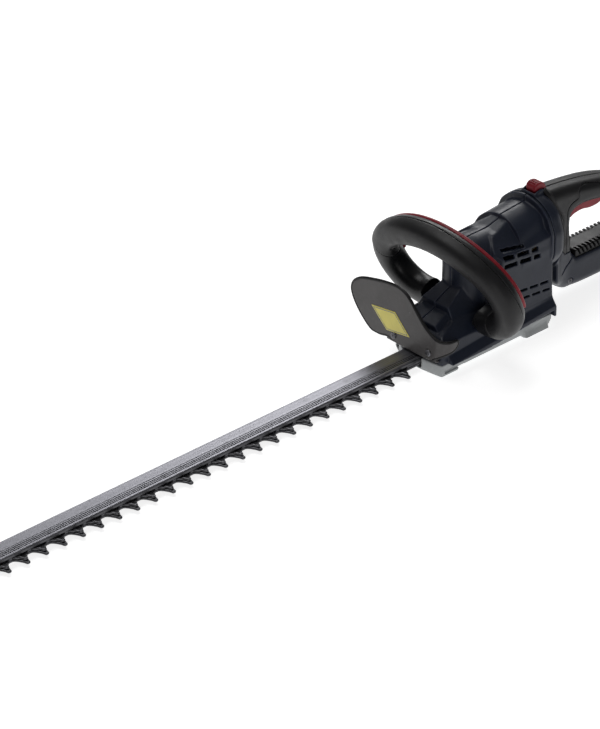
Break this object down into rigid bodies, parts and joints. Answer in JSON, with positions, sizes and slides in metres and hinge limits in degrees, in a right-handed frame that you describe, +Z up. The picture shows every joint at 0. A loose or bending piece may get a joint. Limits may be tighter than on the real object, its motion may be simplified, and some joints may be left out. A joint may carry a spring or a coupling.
{
  "type": "hedge trimmer",
  "caption": "Cordless hedge trimmer with a long double-sided blade, a looped front handle with a switch bar and a turning rear D-handle with a battery.",
  "frame": {"origin": "on the underside of the base, below the axis of the crank gear", "axes": "+X along the blade away from the operator, +Y to the operator's left, +Z up"},
  "size_m": [0.8994, 0.175, 0.1329],
  "materials": {
    "navy_plastic": "fine spark-eroded texture",
    "black_plastic": "satin moulded",
    "black_rubber": "soft-touch overmould",
    "grey_plastic": "satin moulded",
    "smoke_plastic": "satin, slightly smoky",
    "red_plastic": "satin moulded",
    "label_yellow": "printed film",
    "rail_metal": "extruded, fine lines along the length",
    "blade_steel": "dark coated with ground bevels",
    "bright_steel": "plated",
    "screw_steel": "blackened",
    "cast_metal": "die cast",
    "felt": "oiled felt",
    "copper_winding": "enamelled winding",
    "board_green": "solder mask",
    "bronze": "sintered bronze",
    "cell_wrap": "shrink sleeve"
  },
  "bodies": {
    "housing": {"left_housing": "navy_plastic", "right_housing": "navy_plastic", "base_cover": "grey_plastic", "gear_housing": "cast_metal", "base_screws": "screw_steel", "housing_screws": "screw_steel", "hand_guard": "smoke_plastic", "guard_label": "label_yellow", "guard_screws": "screw_steel", "blade_rail": "rail_metal", "rail_screws": "screw_steel", "blade_bolts": "bright_steel", "blade_nuts": "bright_steel", "felt_wiper": "felt", "gear_axle": "bright_steel", "motor_can": "bright_steel", "motor_bearings": "bright_steel", "control_board": "board_green", "swivel_bush": "bronze", "bail_front_shell": "black_rubber", "bail_rear_shell": "black_plastic", "bail_screws": "screw_steel", "front_microswitch": "black_plastic", "bar_springs": "bright_steel"},
    "lower_blade": {"lower_blade": "blade_steel"},
    "upper_blade": {"upper_blade": "blade_steel"},
    "crank": {"crank_gear": "bright_steel"},
    "rotor": {"motor_pinion": "bright_steel", "motor_shaft": "bright_steel", "motor_armature": "copper_winding", "motor_fan": "black_plastic"},
    "switch_bar": {"switch_bar": "red_plastic"},
    "rear_handle": {"swivel_collar": "navy_plastic", "swivel_spindle": "cast_metal", "left_grip": "black_plastic", "right_grip": "black_plastic", "soft_grip": "black_rubber", "arm_insert": "black_rubber", "handle_screws": "screw_steel", "trigger_pin": "bright_steel", "trigger_spring": "bright_steel", "trigger_switch": "black_plastic", "lock_spring": "bright_steel", "terminal_block": "black_plastic"},
    "trigger": {"trigger": "red_plastic"},
    "lock_button": {"lock_button": "red_plastic"},
    "battery": {"battery_case": "black_plastic", "battery_cover": "black_plastic", "battery_cells": "cell_wrap", "battery_contacts": "bronze", "release_spring": "bright_steel"},
    "release_button": {"release_button": "red_plastic"}
  },
  "joints": [
    {"name": "upper_blade_slide", "type": "slide", "parent": "housing", "child": "upper_blade", "axis": [1, 0, 0], "range_m": [-0.008, 0.008]},
    {"name": "lower_blade_slide", "type": "slide", "parent": "housing", "child": "lower_blade", "axis": [1, 0, 0], "range_m": [-0.008, 0.008]},
    {"name": "rotor_spin", "type": "hinge", "parent": "housing", "child": "rotor", "pos_m": [-0.0336, 0, 0.05], "axis": [0, 0, 1], "continuous": true},
    {"name": "crank_turn", "type": "hinge", "parent": "housing", "child": "crank", "pos_m": [0, 0, 0.014], "axis": [0, 0, 1], "continuous": true},
    {"name": "switch_bar_press", "type": "slide", "parent": "housing", "child": "switch_bar", "axis": [0.9323, 0, -0.3616], "range_m": [0, 0.0025], "stiffness_N_per_m": 900, "springref_m": -0.004, "deforming": ["bar_springs"]},
    {"name": "rear_handle_turn", "type": "hinge", "parent": "housing", "child": "rear_handle", "pos_m": [-0.104, 0, 0.084], "axis": [1, 0, 0], "range_deg": [-90, 90]},
    {"name": "trigger_pull", "type": "hinge", "parent": "rear_handle", "child": "trigger", "pos_m": [-0.198, 0, 0.091], "axis": [0, -1, 0], "range_deg": [0, 5], "stiffness_Nm_per_rad": 0.6, "springref_deg": -6.88, "deforming": ["trigger_spring"]},
    {"name": "lock_button_press", "type": "slide", "parent": "rear_handle", "child": "lock_button", "axis": [0, 0, -1], "range_m": [0, 0.003], "stiffness_N_per_m": 600, "springref_m": -0.003, "deforming": ["lock_spring"]},
    {"name": "battery_slide", "type": "slide", "parent": "rear_handle", "child": "battery", "axis": [0, 0, 1], "range_m": [0, 0.11]},
    {"name": "release_button_press", "type": "slide", "parent": "battery", "child": "release_button", "axis": [0, 0, -1], "range_m": [0, 0.0025], "stiffness_N_per_m": 600, "springref_m": -0.003, "deforming": ["release_spring"]}
  ],
  "couplings": [
    {"joint": "lower_blade_slide", "follows": "upper_blade_slide", "ratio": -1},
    {"joint": "crank_turn", "follows": "rotor_spin", "ratio": -0.2}
  ]
}
